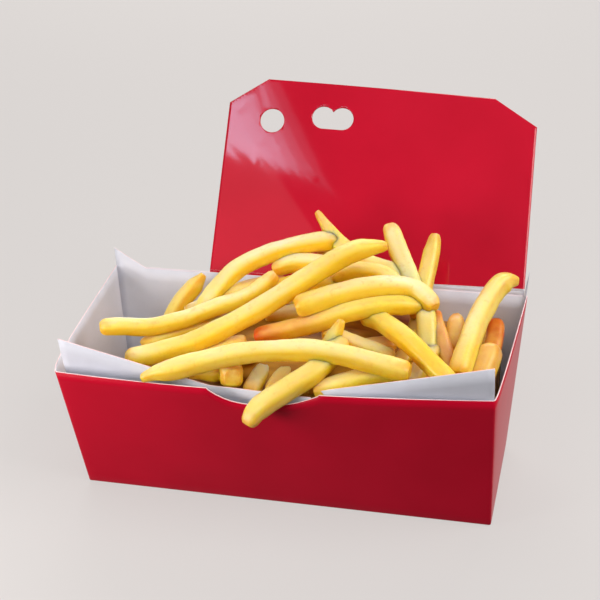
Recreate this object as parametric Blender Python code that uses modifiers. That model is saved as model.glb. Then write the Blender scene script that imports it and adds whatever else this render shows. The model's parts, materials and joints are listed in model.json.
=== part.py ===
"""French fries in a takeaway carton: a folded tray with glue flaps, its hinged lid, and the heap of fries.

Metres, +Z up.  The origin is the middle of the tray's base on its underside, +X runs along the carton's
length and +Y points to the back, where the lid is hinged."""

import math

import bmesh
import bpy
from mathutils import Vector

MM = 0.001

# Carton board and the clearances between things that touch
BOARD = 0.6 * MM
GLUE_GAP = 0.4 * MM
REST_GAP = 0.5 * MM

# Tray: the base, the slanting front, the upright back and the two ends
BASE_LENGTH = 178 * MM
BASE_WIDTH = 60 * MM
FRONT_LENGTH = 180 * MM
FRONT_SLANT = 67.8 * MM
FRONT_RIM_Y = -42 * MM
FRONT_SKEW = 3.3 * MM
FRONT_BULGE = 3.8 * MM
BACK_RIM_LEFT = -95.7 * MM
BACK_RIM_RIGHT = 94.9 * MM
BACK_RIM_Y = 44 * MM
BACK_RIM_Z = 69.8 * MM
END_BULGE_LEFT = 2.2 * MM
END_BULGE_RIGHT = 0.7 * MM
FRONT_COLUMNS = 20
END_COLUMNS = 8
WALL_ROWS = 3

# Finger notch in the middle of the front
NOTCH_X = -1.5 * MM
NOTCH_WIDTH = 46 * MM
NOTCH_SHOULDER = 0.4 * MM
NOTCH_DEPTH = 7.4 * MM
NOTCH_POWER_LEFT = 3.3
NOTCH_POWER_RIGHT = 1.8
NOTCH_STEPS = 24
CUTTER_REACH = 20 * MM

# Glue flaps: (x at the rim, height of the top edge) from the fold to the far edge, in millimetres.
# The front left one reaches past the notch and dips where a fry hangs over it.
FRONT_LEFT_FLAP = (
    (-88, 80.2), (-72.3, 75.9), (-56.5, 71.6), (-40.8, 67.3), (-25, 63), (-13, 62.8),
    (-3, 62.5), (-0.5, 57), (10, 56.5), (12.5, 61), (17, 62),
)
FRONT_RIGHT_FLAP = (
    (89.6, 82.2), (78.2, 79.4), (66.8, 76.7), (55.4, 73.9), (44, 71.1), (32.6, 68.4), (21.2, 65.6),
)
BACK_LEFT_FLAP = ((-95.4, 78.3), (-88, 73.9), (-80.6, 69.6), (-79, 68.4), (-66, 68.4), (-54, 68.4))
BACK_RIGHT_FLAP = ((94.6, 81.9), (93.8, 77), (93.6, 68.4), (78, 68.4), (64, 68.4), (50, 68.4))
LEFT_FLAP_RIM_Y = (-40 * MM, -41.4 * MM)
RIGHT_FLAP_RIM_Y = (-37.4 * MM, -40.6 * MM)
FLAP_LEVELS = (BOARD / 2, 20 * MM, 40 * MM, 54 * MM)
FRONT_FLAP_FOOT_Y = -BASE_WIDTH / 2 + BOARD + GLUE_GAP
BACK_FLAP_FOOT_Y = BASE_WIDTH / 2 - BOARD - GLUE_GAP

# Lid: one panel with two cut corners and two punched holes, warped a little from end to end
HINGE_Y = 44.1 * MM
HINGE_Z = 70.4 * MM
LID_X = 21.7 * MM
LID_WIDTH = 143.3 * MM
LID_TAPER_LEFT = 2.6 * MM
LID_TAPER_RIGHT = 1.6 * MM
LID_HEIGHT = 90.4 * MM
LID_CREASE = 0.35 * MM
LID_LEAN = math.radians(38.5)
LID_TWIST = math.radians(13.1)
LID_COLUMNS = 18
LID_ROWS = 10
CORNER_CUT_LEFT = 19.2 * MM
CORNER_CUT_RIGHT = 21.2 * MM
CORNER_CUT_Z = 11.8 * MM
HOLE_X = -49.1 * MM
HOLE_Z = 71.25 * MM
HOLE_RADIUS = 5.5 * MM
SLOT_X = (-25.8 * MM, -17.3 * MM)
SLOT_Z = 74.4 * MM
SLOT_RADIUS = 5.2 * MM
SLOT_DIP = 2.9 * MM

# Heap of fries: a mound on straight sides, ridged by the fries that lie in it
HEAP_LEFT = -86 * MM
HEAP_RIGHT = 87.4 * MM
HEAP_FLOOR = 1.0 * MM
HEAP_SHOULDER = 58 * MM
HEAP_RISE = 24 * MM
HEAP_CROWN_X = 12 * MM
HEAP_CROWN_Y = -2 * MM
HEAP_HALF_LEFT = 84 * MM
HEAP_HALF_RIGHT = 96 * MM
HEAP_HALF_FRONT = 38 * MM
HEAP_HALF_BACK = 44 * MM
HEAP_LEFT_FOOT = 12 * MM
HEAP_LEFT_SLOPE = 17 * MM
HEAP_ROUND_EDGE = 3 * MM
FLAP_SLACK = 0.7 * MM
HEAP_STATIONS = 38
HEAP_TOP_POINTS = 24
FRY_PITCH = 9 * MM
FRY_RIDGE = 1.8 * MM

# Fries that lie on the heap or stand out of it: thickness, then the route of the middle line, in
# millimetres from the left or lower end
LOOSE_FRIES = {
    "crossing": (8.2, ((-61, -28, 67), (-35, -18, 71), (-11, -6, 81), (13, 7, 93), (37, 18, 102))),
    "left_end": (7.6, ((-78, -16, 72), (-46, -6, 72), (-26, 4, 78), (-12, 14, 86))),
    "left_short": (7.4, ((-57, -12, 63), (-39, -3, 65), (-20, 4, 66))),
    "left_front": (7.4, ((-49, -27, 66), (-30, -21, 71), (-13, -16, 74))),
    "arch": (7.4, ((-37, 6, 77), (-30, 18, 85), (-16, 28, 89), (5, 34, 92))),
    "low_arch": (7.1, ((-46, 12, 74), (-30, 20, 79), (-14, 23, 83), (2, 22, 82))),
    "pointed": (6.3, ((2, 44, 101), (12, 36, 94), (25, 29, 87), (42, 24, 83), (50, 18, 76))),
    "upright_middle": (7.4, ((36, 40, 101), (40, 33, 93), (49, 14, 86), (54, 4, 74))),
    "upright_right": (6.9, ((55, 38, 97), (54, 30, 89.5), (54.5, 16, 79), (56.5, 1, 68.5))),
    "right_end": (8.0, ((88, 26, 86), (82, 20, 85), (78, 4, 78), (73, -25, 68))),
    "right_stub": (6.7, ((68, 14, 76), (70, 5, 75), (70, -6, 68))),
    "right_browned": (6.5, ((81, 18, 74), (82, 8, 74), (82, -4, 66))),
    "right_corner": (7.6, ((82, -4, 70), (81, -14, 66), (79, -20, 58))),
    "hump": (7.6, ((4, -6, 80), (17, 4, 84), (35, 10, 86), (51, 10, 85), (59, -2, 84))),
    "browned": (7.4, ((-12, -11, 72), (4, -7, 75), (22, 1, 79), (53, 8, 79))),
    "falling": (7.8, ((35, 4, 74), (51, -17, 78), (67, -29, 73), (73, -31, 66))),
    "long_front": (7.8, ((-51, -46, 69.5), (-37, -42, 72.5), (-19, -35, 74), (22, -28, 76), (54, -33, 74))),
    "under_front": (7.1, ((13, -36, 60), (28, -32, 66), (46, -26, 69))),
    "over_notch": (7.6, ((-6, -52.3, 55.8), (0, -46.2, 62.6), (11, -35, 67.8), (23, -20, 68), (35, -8, 63))),
    "notch_left": (7.4, ((-18, -34, 60), (-13, -28, 66), (-6, -18, 70))),
    "back_left": (6.1, ((-50, 32, 72), (-60, 22, 57), (-64, 18, 50))),
}
FRY_STEPS = 10
FRY_END_SCALE = 0.72

PARTS = bpy.data.collections.new("french_fries_in_carton")
HELPERS = bpy.data.collections.new("cutters_and_joined_pieces")
LOOSE = bpy.data.collections.new("loose_fries")


def clear_scene():
    for item in list(bpy.data.objects):
        bpy.data.objects.remove(item, do_unlink=True)
    bpy.context.scene.collection.children.link(PARTS)
    bpy.context.scene.collection.children.link(HELPERS)


def board_material(name, colour, roughness):
    material = bpy.data.materials.new(name)
    material.use_nodes = True
    shader = material.node_tree.nodes["Principled BSDF"]
    shader.inputs["Base Color"].default_value = (*colour, 1.0)
    shader.inputs["Roughness"].default_value = roughness
    shader.inputs["Metallic"].default_value = 0.0
    return material


def add_object(name, data, helper=False):
    item = bpy.data.objects.new(name, data)
    (HELPERS if helper else PARTS).objects.link(item)
    if helper:
        item.hide_render = True
        item.display_type = "WIRE"
    return item


def sheet_mesh(name, grid, outward):
    """A sheet through a grid of points, grid[column][row], with its faces turned to the outward side."""
    rows = len(grid[0])
    points = [point for column in grid for point in column]
    faces = []
    for i in range(len(grid) - 1):
        for j in range(rows - 1):
            corners = [i * rows + j, (i + 1) * rows + j, (i + 1) * rows + j + 1, i * rows + j + 1]
            faces.append(corners)
    mesh = bpy.data.meshes.new(name)
    mesh.from_pydata(points, [], faces)
    mesh.update()
    if sum((face.normal * face.area for face in mesh.polygons), Vector()).dot(outward) < 0:
        mesh.flip_normals()
    return mesh


def thicken(item, thickness, offset=-1.0):
    solidify = item.modifiers.new("board thickness", "SOLIDIFY")
    solidify.thickness = thickness
    solidify.offset = offset
    solidify.use_even_offset = True
    return solidify


def combine(item, other, operation):
    boolean = item.modifiers.new(operation.lower() + " " + other.name, "BOOLEAN")
    boolean.operation = operation
    boolean.solver = "EXACT"
    boolean.object = other


def outline_cutter(name, outline, depth):
    """A flat outline in the XZ plane, drawn out along Y to both sides, as a closed mesh."""
    curve = bpy.data.curves.new(name, "CURVE")
    curve.dimensions = "2D"
    curve.fill_mode = "BOTH"
    curve.extrude = depth / 2
    spline = curve.splines.new("POLY")
    spline.points.add(len(outline) - 1)
    for point, (x, z) in zip(spline.points, outline):
        point.co = (x, z, 0, 1)
    spline.use_cyclic_u = True
    drawn = bpy.data.objects.new(name + "_curve", curve)
    drawn.rotation_euler = (math.pi / 2, 0, 0)
    HELPERS.objects.link(drawn)
    return curve_to_mesh(name, drawn)


def curve_to_mesh(name, drawn):
    """The curve object's evaluated shape as a mesh object with welded caps; the curve is removed."""
    bpy.context.view_layer.update()
    seen = drawn.evaluated_get(bpy.context.evaluated_depsgraph_get())
    mesh = bpy.data.meshes.new_from_object(seen)
    mesh.transform(drawn.matrix_world)
    bpy.data.objects.remove(drawn, do_unlink=True)
    work = bmesh.new()
    work.from_mesh(mesh)
    bmesh.ops.remove_doubles(work, verts=work.verts, dist=0.00001)
    bmesh.ops.recalc_face_normals(work, faces=work.faces)
    work.to_mesh(mesh)
    work.free()
    mesh.name = name
    return add_object(name, mesh, helper=True)


def arc(centre_x, centre_z, radius, start, end, steps):
    """Points of an arc from one angle to another, in degrees."""
    angles = [math.radians(start + (end - start) * i / steps) for i in range(steps + 1)]
    return [(centre_x + radius * math.cos(a), centre_z + radius * math.sin(a)) for a in angles]


# ---------------------------------------------------------------- tray


def blend(a, b, t):
    return a + (b - a) * t


def front_rim(side):
    """Rim point of the front panel; side runs from -1 at the left corner to 1 at the right."""
    y = FRONT_RIM_Y + FRONT_SKEW * side - FRONT_BULGE * (1 - side * side)
    reach = y + BASE_WIDTH / 2
    return Vector((side * FRONT_LENGTH / 2, y, math.sqrt(FRONT_SLANT**2 - reach**2)))


def front_foot(side):
    return Vector((side * BASE_LENGTH / 2, -BASE_WIDTH / 2, 0))


def back_rim(side):
    x = blend(BACK_RIM_LEFT, BACK_RIM_RIGHT, (side + 1) / 2)
    return Vector((x, BACK_RIM_Y, BACK_RIM_Z))


def back_foot(side):
    return Vector((side * BASE_LENGTH / 2, BASE_WIDTH / 2, 0))


def end_rim(side, depth):
    """Rim point of an end panel; depth runs from 0 at the front corner to 1 at the back corner."""
    bulge = END_BULGE_LEFT if side < 0 else END_BULGE_RIGHT
    out = Vector((side * bulge * math.sin(math.pi * math.sqrt(depth)), 0, 0))
    return front_rim(side).lerp(back_rim(side), depth) + out


def end_foot(side, depth):
    return front_foot(side).lerp(back_foot(side), depth)


def tray_sheet():
    """The outside surface of the base and the four walls, as one open sheet."""
    sides = [-1 + 2 * i / FRONT_COLUMNS for i in range(FRONT_COLUMNS + 1)]
    depths = [i / END_COLUMNS for i in range(1, END_COLUMNS)]
    around = [(front_foot(s), front_rim(s)) for s in sides]
    around += [(end_foot(1, d), end_rim(1, d)) for d in depths]
    around += [(back_foot(s), back_rim(s)) for s in reversed(sides)]
    around += [(end_foot(-1, d), end_rim(-1, d)) for d in reversed(depths)]
    work = bmesh.new()
    wall = [
        [work.verts.new(foot.lerp(rim, j / WALL_ROWS)) for j in range(WALL_ROWS + 1)] for foot, rim in around
    ]
    for i, column in enumerate(wall):
        following = wall[(i + 1) % len(wall)]
        for j in range(WALL_ROWS):
            work.faces.new((column[j], following[j], following[j + 1], column[j + 1]))
    fill_base(work, [column[0] for column in wall])
    bmesh.ops.recalc_face_normals(work, faces=work.faces)
    mesh = bpy.data.meshes.new("carton_tray")
    work.to_mesh(mesh)
    work.free()
    return mesh


def fill_base(work, edge):
    """A grid of faces across the base, whose edge points are given in order round the tray."""
    n, m = FRONT_COLUMNS, END_COLUMNS
    rows = [edge[: n + 1]]
    for k in range(1, m):
        left = edge[-k]
        right = edge[n + k]
        inner = [work.verts.new(left.co.lerp(right.co, i / n)) for i in range(1, n)]
        rows.append([left, *inner, right])
    rows.append(list(reversed(edge[n + m : 2 * n + m + 1])))
    for lower, upper in zip(rows, rows[1:]):
        for i in range(n):
            work.faces.new((lower[i], upper[i], upper[i + 1], lower[i + 1]))


def notch_cutter():
    """The finger notch: a shallow dished cut-out, steep at its left shoulder and easy at its right."""
    rim_z = front_rim(0).z
    top = rim_z + CUTTER_REACH
    outline = []
    for i in range(NOTCH_STEPS + 1):
        across = -1 + 2 * i / NOTCH_STEPS
        power = NOTCH_POWER_LEFT if across < 0 else NOTCH_POWER_RIGHT
        depth = NOTCH_SHOULDER + NOTCH_DEPTH * (1 - abs(across) ** power)
        outline.append((NOTCH_X + across * NOTCH_WIDTH / 2, rim_z * (1 - depth / FRONT_SLANT)))
    outline += [(NOTCH_X + NOTCH_WIDTH / 2, top), (NOTCH_X - NOTCH_WIDTH / 2, top)]
    cutter = outline_cutter("notch_cutter", outline, CUTTER_REACH)
    cutter.location.y = front_rim(0).y
    return cutter


def flap_sheet(name, columns, foot_y, rim_y, x_at):
    """A glue flap standing inside a wall.

    columns lists (x at the rim, height of the top edge) in millimetres; foot_y is the outer face at the
    base, and rim_y and x_at give the outer face and the x of a column at a height."""
    rim_z = front_rim(0).z
    grid = []
    for x, top in ((x * MM, top * MM) for x, top in columns):
        heights = [*FLAP_LEVELS, blend(FLAP_LEVELS[-1], top, 0.5), top]
        grid.append([Vector((x_at(x, z), blend(foot_y, rim_y(x), z / rim_z), z)) for z in heights])
    outward = Vector((0, math.copysign(1, foot_y), 0))
    item = add_object(name, sheet_mesh(name, grid, outward), helper=True)
    thicken(item, BOARD)
    return item


def end_middle_x(side, depth, z):
    """Middle of the board of an end panel, at a place from front to back and a height."""
    rim = end_rim(side, depth)
    return blend(end_foot(side, depth).x, rim.x, z / rim.z) - side * BOARD / 2


def front_flap(name, side, columns, rim_ys):
    """A flap inside the front wall, folded off one end panel, with a wing above the rim."""
    fold, far = columns[0][0] * MM, columns[-1][0] * MM
    depth = 0.05 if side < 0 else 0.02

    def x_at(x, z):
        return end_middle_x(side, depth, z) if x == fold and z <= FLAP_LEVELS[-1] else x

    def rim_y(x):
        return blend(*rim_ys, (x - fold) / (far - fold))

    return flap_sheet(name, columns, FRONT_FLAP_FOOT_Y, rim_y, x_at)


def back_flap(name, columns):
    """A flap inside the back wall: a small wing at the corner, then level just under the rim."""
    corner = columns[0][0] * MM
    rim_y = blend(BACK_FLAP_FOOT_Y, BACK_RIM_Y - BOARD - GLUE_GAP, front_rim(0).z / BACK_RIM_Z)

    def x_at(x, z):
        foot = x * (BASE_LENGTH / 2 - BOARD / 2) / abs(corner)
        return blend(foot, x, z / BACK_RIM_Z)

    return flap_sheet(name, columns, BACK_FLAP_FOOT_Y, lambda x: rim_y, x_at)


def make_tray():
    tray = add_object("carton_tray", tray_sheet())
    thicken(tray, BOARD)
    combine(tray, notch_cutter(), "DIFFERENCE")
    combine(tray, front_flap("front_left_flap", -1, FRONT_LEFT_FLAP, LEFT_FLAP_RIM_Y), "UNION")
    combine(tray, front_flap("front_right_flap", 1, FRONT_RIGHT_FLAP, RIGHT_FLAP_RIM_Y), "UNION")
    combine(tray, back_flap("back_left_flap", BACK_LEFT_FLAP), "UNION")
    combine(tray, back_flap("back_right_flap", BACK_RIGHT_FLAP), "UNION")
    tray.data.materials.append(board_material("tray board", (0.47, 0.008, 0.022), 0.32))
    return tray


# ---------------------------------------------------------------- lid


def lid_half(side, z):
    """Distance from the middle of the lid to its left or right edge at a height above the crease."""
    taper = LID_TAPER_LEFT if side < 0 else LID_TAPER_RIGHT
    return LID_WIDTH / 2 - taper * z / LID_HEIGHT


def make_lid():
    """The lid panel, drawn flat above its crease and then leaned back about it."""
    grid = []
    for i in range(LID_COLUMNS + 1):
        across = -1 + 2 * i / LID_COLUMNS
        column = []
        for j in range(LID_ROWS + 1):
            z = blend(LID_CREASE, LID_HEIGHT, j / LID_ROWS)
            column.append(Vector((across * lid_half(across, z), 0, z)))
        grid.append(column)
    lid = add_object("lid", sheet_mesh("lid", grid, Vector((0, -1, 0))))
    thicken(lid, BOARD, offset=0.0)
    for cutter in lid_cutters():
        cutter.parent = lid
        combine(lid, cutter, "DIFFERENCE")
    warp = lid.modifiers.new("warp from end to end", "SIMPLE_DEFORM")
    warp.deform_method = "TWIST"
    warp.deform_axis = "X"
    warp.angle = -LID_TWIST
    lid.location = (LID_X, HINGE_Y, HINGE_Z)
    lid.rotation_euler = (-LID_LEAN, 0, 0)
    lid.data.materials.append(board_material("lid board", (0.52, 0.009, 0.024), 0.26))
    return lid


def corner_cutter(side):
    """Takes off one top corner of the lid along a slanting line."""
    half = LID_WIDTH / 2
    inner = Vector((half - (CORNER_CUT_LEFT if side < 0 else CORNER_CUT_RIGHT), LID_HEIGHT))
    outer = Vector((lid_half(side, LID_HEIGHT), LID_HEIGHT - CORNER_CUT_Z))
    start = inner.lerp(outer, -0.2)
    finish = inner.lerp(outer, 1.2)
    right, top = half + CUTTER_REACH, LID_HEIGHT + CUTTER_REACH
    outline = [start, finish, (right, finish.y), (right, top), (start.x, top)]
    name = "corner_cutter_" + ("left" if side < 0 else "right")
    return outline_cutter(name, [(side * x, z) for x, z in outline], CUTTER_REACH)


def lid_cutters():
    """Cutters for the two corners, the round hole and the twin hole."""
    left, right = SLOT_X
    twin = arc(left, SLOT_Z, SLOT_RADIUS, 50, 270, 14) + arc(right, SLOT_Z, SLOT_RADIUS, 270, 490, 14)
    twin.append(((left + right) / 2, SLOT_Z + SLOT_DIP))
    return [
        corner_cutter(-1),
        corner_cutter(1),
        outline_cutter("round_hole_cutter", arc(HOLE_X, HOLE_Z, HOLE_RADIUS, 0, 345, 23), CUTTER_REACH),
        outline_cutter("twin_hole_cutter", twin, CUTTER_REACH),
    ]


# ---------------------------------------------------------------- fries


def smooth_route(route, steps):
    """Points along a smooth curve through the route's own points (Catmull-Rom)."""
    points = [Vector(p) * MM for p in route]
    points = [points[0] * 2 - points[1], *points, points[-1] * 2 - points[-2]]
    found = []
    spans = len(points) - 3
    for k in range(steps + 1):
        place = min(k / steps * spans, spans - 1e-6)
        i = int(place)
        t = place - i
        a, b, c, d = points[i : i + 4]
        found.append(
            0.5 * (2 * b + (c - a) * t + (2 * a - 5 * b + 4 * c - d) * t**2 + (3 * b - a - 3 * c + d) * t**3)
        )
    return found


def fry_tube(name, thickness, route):
    """One fry as a thick rod along its route, narrower at both ends."""
    curve = bpy.data.curves.new(name, "CURVE")
    curve.dimensions = "3D"
    curve.bevel_depth = thickness / 2
    curve.bevel_resolution = 2
    curve.use_fill_caps = True
    spline = curve.splines.new("POLY")
    places = smooth_route(route, FRY_STEPS)
    spline.points.add(len(places) - 1)
    for k, (point, place) in enumerate(zip(spline.points, places)):
        point.co = (*place, 1)
        point.radius = FRY_END_SCALE if k in (0, len(places) - 1) else 1.0
    drawn = bpy.data.objects.new(name + "_curve", curve)
    HELPERS.objects.link(drawn)
    return curve_to_mesh(name, drawn)


def heap_front_y(x, z):
    """Front face of the heap, just inside the glue flaps, which close in towards the right."""
    left, right = (rim + BOARD + REST_GAP + FLAP_SLACK for rim in (LEFT_FLAP_RIM_Y[0], RIGHT_FLAP_RIM_Y[0]))
    rim = blend(left, right, max(0.0, x) / (FRONT_LENGTH / 2))
    return blend(FRONT_FLAP_FOOT_Y + BOARD + REST_GAP, rim, z / front_rim(0).z)


def heap_back_y(z):
    """Back face of the heap, just inside the glue flaps there."""
    rim = BACK_RIM_Y - 2 * BOARD - GLUE_GAP - REST_GAP
    return blend(BACK_FLAP_FOOT_Y - BOARD - REST_GAP, rim, z / BACK_RIM_Z)


def heap_height(x, y):
    """Top of the close-packed fries: a mound that falls to the ends, with two sets of ridges."""
    along = x - HEAP_CROWN_X
    crown = max(0.0, 1 - abs(along / (HEAP_HALF_RIGHT if along > 0 else HEAP_HALF_LEFT)) ** 2.6)
    middle = y - HEAP_CROWN_Y
    fall = (middle / HEAP_HALF_BACK) ** 4 if middle > 0 else (-middle / HEAP_HALF_FRONT) ** 2.4
    ridges = 0.6 * abs(math.sin(math.pi * (y + 0.35 * x) / FRY_PITCH))
    ridges += 0.7 * abs(math.sin(math.pi * (y - 0.5 * x) / (1.7 * FRY_PITCH)))
    height = HEAP_SHOULDER + HEAP_RISE * crown * max(0.0, 1 - fall) + FRY_RIDGE * ridges
    slope = (x - HEAP_LEFT) / HEAP_LEFT_SLOPE
    return blend(HEAP_LEFT_FOOT, height, min(1.0, slope) ** 0.8)


def heap_section(x):
    """Outline of the heap across the carton at x, from the front foot over the top to the back foot."""
    front_top = heap_height(x, heap_front_y(x, HEAP_SHOULDER)) - HEAP_ROUND_EDGE
    back_top = heap_height(x, heap_back_y(HEAP_SHOULDER)) - HEAP_ROUND_EDGE
    levels = [blend(HEAP_FLOOR, front_top, k / 2) for k in range(3)]
    outline = [Vector((x, heap_front_y(x, z), z)) for z in levels]
    near = heap_front_y(x, front_top) + HEAP_ROUND_EDGE
    far = heap_back_y(back_top) - HEAP_ROUND_EDGE
    for i in range(HEAP_TOP_POINTS + 1):
        y = blend(near, far, i / HEAP_TOP_POINTS)
        outline.append(Vector((x, y, heap_height(x, y))))
    levels = [blend(back_top, HEAP_FLOOR, k / 2) for k in range(3)]
    return outline + [Vector((x, heap_back_y(z), z)) for z in levels]


def heap_mesh():
    work = bmesh.new()
    stations = [blend(HEAP_LEFT, HEAP_RIGHT, i / HEAP_STATIONS) for i in range(HEAP_STATIONS + 1)]
    rings = [[work.verts.new(p) for p in heap_section(x)] for x in stations]
    for a, b in zip(rings, rings[1:]):
        for i in range(len(a)):
            j = (i + 1) % len(a)
            work.faces.new((a[i], a[j], b[j], b[i]))
    work.faces.new(rings[0])
    work.faces.new(list(reversed(rings[-1])))
    bmesh.ops.recalc_face_normals(work, faces=work.faces)
    mesh = bpy.data.meshes.new("fries")
    work.to_mesh(mesh)
    work.free()
    return mesh


def make_fries():
    heap = add_object("fries", heap_mesh())
    HELPERS.children.link(LOOSE)
    for name, (thickness, route) in LOOSE_FRIES.items():
        fry = fry_tube("fry_" + name, thickness * MM, route)
        HELPERS.objects.unlink(fry)
        LOOSE.objects.link(fry)
    join = heap.modifiers.new("union with the loose fries", "BOOLEAN")
    join.operation = "UNION"
    join.solver = "EXACT"
    join.operand_type = "COLLECTION"
    join.collection = LOOSE
    heap.data.materials.append(board_material("fried potato", (0.80, 0.49, 0.07), 0.42))
    return heap


clear_scene()
make_tray()
make_lid()
make_fries()
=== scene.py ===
"""French fries in an open takeaway carton: printed board, fried potato sticks and soft studio light."""

import json
import math
import random

import bmesh
import bpy
import numpy as np
from mathutils import Matrix, Vector, noise


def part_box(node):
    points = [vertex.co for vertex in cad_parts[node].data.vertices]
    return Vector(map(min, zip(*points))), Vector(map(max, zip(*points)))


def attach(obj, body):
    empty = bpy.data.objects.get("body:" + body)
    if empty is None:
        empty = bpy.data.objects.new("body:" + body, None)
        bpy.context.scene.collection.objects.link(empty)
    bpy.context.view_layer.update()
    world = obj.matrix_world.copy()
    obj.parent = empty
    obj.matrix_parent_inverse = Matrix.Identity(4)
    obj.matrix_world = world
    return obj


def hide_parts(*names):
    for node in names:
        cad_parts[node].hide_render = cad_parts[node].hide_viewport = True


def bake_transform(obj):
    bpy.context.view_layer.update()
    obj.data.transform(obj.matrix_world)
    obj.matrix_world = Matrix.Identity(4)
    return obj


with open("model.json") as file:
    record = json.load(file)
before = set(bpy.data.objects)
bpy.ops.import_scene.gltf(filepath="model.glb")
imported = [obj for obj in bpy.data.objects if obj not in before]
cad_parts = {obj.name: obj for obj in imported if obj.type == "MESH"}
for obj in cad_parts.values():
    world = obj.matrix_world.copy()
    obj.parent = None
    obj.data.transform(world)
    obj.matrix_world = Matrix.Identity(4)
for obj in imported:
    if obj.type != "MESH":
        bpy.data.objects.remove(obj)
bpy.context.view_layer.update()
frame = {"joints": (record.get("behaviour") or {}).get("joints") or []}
TRAY_LOW, TRAY_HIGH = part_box("carton_tray")
HINGE = next(joint for joint in frame["joints"] if joint["name"] == "lid_hinge")

MM = 0.001

# Carton, in metres: the same driving sizes as the tray and lid solids
BOARD = 0.5 * MM
BASE_LENGTH = 178 * MM
BASE_WIDTH = 60 * MM
FRONT_LENGTH = 180 * MM
FRONT_SLANT = 67.8 * MM
FRONT_RIM_Y = -42 * MM
FRONT_SKEW = 3.3 * MM
FRONT_BULGE = 3.8 * MM
BACK_RIM_LEFT = -95.7 * MM
BACK_RIM_RIGHT = 94.9 * MM
BACK_RIM_Y = 44 * MM
BACK_RIM_Z = 69.8 * MM
END_BULGE_LEFT = 2.2 * MM
END_BULGE_RIGHT = 0.7 * MM
NOTCH_X = -1.5 * MM
NOTCH_WIDTH = 46 * MM
NOTCH_SHOULDER = 0.4 * MM
NOTCH_DEPTH = 7.4 * MM
NOTCH_POWER_LEFT = 3.3
NOTCH_POWER_RIGHT = 1.8
FOLD_RADIUS = 0.9 * MM

HINGE_Y = 44.1 * MM
HINGE_Z = 70.4 * MM
LID_X = 21.7 * MM
LID_WIDTH = 143.3 * MM
LID_TAPER_LEFT = 2.6 * MM
LID_TAPER_RIGHT = 1.6 * MM
LID_HEIGHT = 90.4 * MM
LID_CREASE = 0.35 * MM
LID_LEAN = math.radians(38.5)
LID_TWIST = math.radians(13.1)
CORNER_CUT_LEFT = 19.2 * MM
CORNER_CUT_RIGHT = 21.2 * MM
CORNER_CUT_Z = 11.8 * MM
HOLE_X = -49.1 * MM
HOLE_Z = 71.25 * MM
HOLE_RADIUS = 5.5 * MM
SLOT_X = (-25.8 * MM, -17.3 * MM)
SLOT_Z = 74.4 * MM
SLOT_RADIUS = 5.2 * MM
SLOT_DIP = 2.9 * MM
PRINT_SLIP = (-0.9, 1.7)


# ---------------------------------------------------------------- small helpers


def hex_colour(code):
    """sRGB hex to linear RGBA."""
    parts = [int(code[i : i + 2], 16) / 255 for i in (1, 3, 5)]
    return (*(p / 12.92 if p <= 0.04045 else ((p + 0.055) / 1.055) ** 2.4 for p in parts), 1.0)


def add_node(tree, kind, inputs=None, **settings):
    """Adds a node; inputs gives each socket a value or links it to another node's output."""
    node = tree.nodes.new(kind)
    for name, value in settings.items():
        setattr(node, name, value)
    for key, value in (inputs or {}).items():
        if isinstance(value, bpy.types.NodeSocket):
            tree.links.new(value, node.inputs[key])
        else:
            node.inputs[key].default_value = value
    return node


def colour_ramp(tree, factor, stops):
    """A colour ramp; stops lists (place, hex colour)."""
    ramp = add_node(tree, "ShaderNodeValToRGB", {"Fac": factor})
    elements = ramp.color_ramp.elements
    while len(elements) < len(stops):
        elements.new(1.0)
    for element, (place, code) in zip(elements, stops):
        element.position = place
        element.color = hex_colour(code)
    return ramp.outputs["Color"]


def blend(a, b, t):
    return a + (b - a) * t


def smooth(low, high, value):
    t = min(1.0, max(0.0, (value - low) / (high - low)))
    return t * t * (3 - 2 * t)


def new_object(name, mesh):
    item = bpy.data.objects.new(name, mesh)
    bpy.context.scene.collection.objects.link(item)
    return item


def settle(item, name):
    """Modifiers, place and turn all go into the mesh, which then sits at the origin."""
    bpy.context.view_layer.update()
    graph = bpy.context.evaluated_depsgraph_get()
    mesh = bpy.data.meshes.new_from_object(item.evaluated_get(graph), depsgraph=graph)
    mesh.transform(item.matrix_world)
    bpy.data.objects.remove(item, do_unlink=True)
    mesh.name = name
    return new_object(name, mesh)


def grid_mesh(name, grid, outward):
    """A sheet through a grid of points, grid[column][row], turned to face outward."""
    rows = len(grid[0])
    points = [point for column in grid for point in column]
    faces = []
    for i in range(len(grid) - 1):
        for j in range(rows - 1):
            a, b = i * rows + j, (i + 1) * rows + j
            faces.append((a, b, b + 1, a + 1))
    mesh = bpy.data.meshes.new(name)
    mesh.from_pydata(points, [], faces)
    mesh.update()
    if sum((face.normal * face.area for face in mesh.polygons), Vector()).dot(outward) < 0:
        mesh.flip_normals()
    return mesh


def waviness(x, y, size, depth, key):
    """A smooth, uneven value between -depth and depth over patches of the given size."""
    return depth * noise.noise(Vector((x / size, y / size, key)))


# ---------------------------------------------------------------- materials


def new_material(name):
    material = bpy.data.materials.new(name)
    material.use_nodes = True
    return material, material.node_tree, material.node_tree.nodes["Principled BSDF"]


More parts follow.
